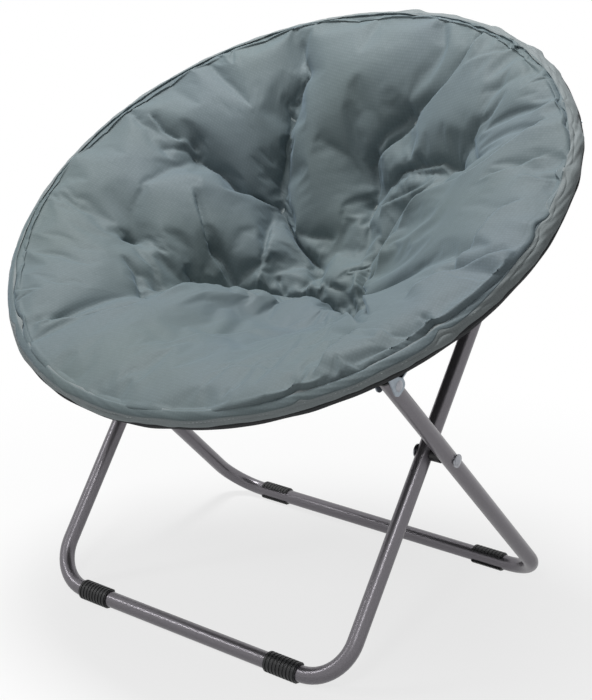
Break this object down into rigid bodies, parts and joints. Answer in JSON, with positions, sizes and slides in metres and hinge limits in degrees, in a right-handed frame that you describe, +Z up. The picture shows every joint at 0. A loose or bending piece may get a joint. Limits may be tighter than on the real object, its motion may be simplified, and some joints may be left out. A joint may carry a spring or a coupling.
{
  "type": "folding saucer chair",
  "caption": "Round padded seat on a hinged steel tube ring, carried by two crossed U legs that fold flat with it.",
  "frame": {"origin": "On the floor, under the middle of the chair's outer box.", "axes": "+Z up, +X to the sitter's left, the sitter faces -Y."},
  "size_m": [0.7998, 0.6692, 0.8003],
  "materials": {
    "tube_paint": "satin grey metallic paint",
    "black_plastic": "matte",
    "zinc_sheet": "zinc plated",
    "rivet_steel": "plain",
    "cover_cloth": "grey-green woven polyester, slight sheen",
    "black_cloth": "matte"
  },
  "bodies": {
    "front_leg_frame": {"front_leg_tube": "tube_paint", "front_leg_plugs": "black_plastic", "front_foot_left": "black_plastic", "front_foot_right": "black_plastic", "crossing_spacer_left": "black_plastic", "crossing_spacer_right": "black_plastic", "crossing_rivets": "rivet_steel", "crossing_washers": "rivet_steel"},
    "rear_leg_frame": {"rear_leg_tube": "tube_paint", "rear_leg_plugs": "black_plastic", "rear_foot_left": "black_plastic", "rear_foot_right": "black_plastic"},
    "ring_front": {"ring_front_tube": "tube_paint", "ring_front_plugs": "black_plastic", "hinge_clevis_left": "zinc_sheet", "hinge_clevis_right": "zinc_sheet", "hinge_pins": "rivet_steel", "clevis_fixings": "rivet_steel", "front_bracket_left": "zinc_sheet", "front_bracket_right": "zinc_sheet", "front_bracket_fixings": "rivet_steel", "front_pivot_rivets": "rivet_steel", "front_sleeve": "cover_cloth", "seat_sling": "black_cloth", "seat_pad": "cover_cloth"},
    "ring_rear": {"ring_rear_tube": "tube_paint", "ring_rear_plugs": "black_plastic", "hinge_tongue_left": "zinc_sheet", "hinge_tongue_right": "zinc_sheet", "tongue_fixings": "rivet_steel", "rear_bracket_left": "zinc_sheet", "rear_bracket_right": "zinc_sheet", "rear_bracket_fixings": "rivet_steel", "rear_pivot_rivets": "rivet_steel", "rear_sleeve": "cover_cloth"}
  },
  "joints": [
    {"name": "leg_fold", "type": "hinge", "parent": "front_leg_frame", "child": "rear_leg_frame", "pos_m": [0, -0.0166, 0.2728], "axis": [-1, 0, 0], "range_deg": [0, 70.09]},
    {"name": "front_bracket_turn", "type": "hinge", "parent": "rear_leg_frame", "child": "ring_front", "pos_m": [0, -0.16309, 0.40891], "axis": [1, 0, 0], "range_deg": [0, 85.41]},
    {"name": "ring_fold", "type": "hinge", "parent": "ring_front", "child": "ring_rear", "pos_m": [0, 0.17317, 0.66386], "axis": [-1, 0, 0], "range_deg": [0, 143.24], "deforming": ["seat_pad", "seat_sling"]}
  ],
  "couplings": [
    {"joint": "front_bracket_turn", "follows": "leg_fold", "ratio": 1.2185},
    {"joint": "ring_fold", "follows": "leg_fold", "ratio": 2.0435}
  ]
}
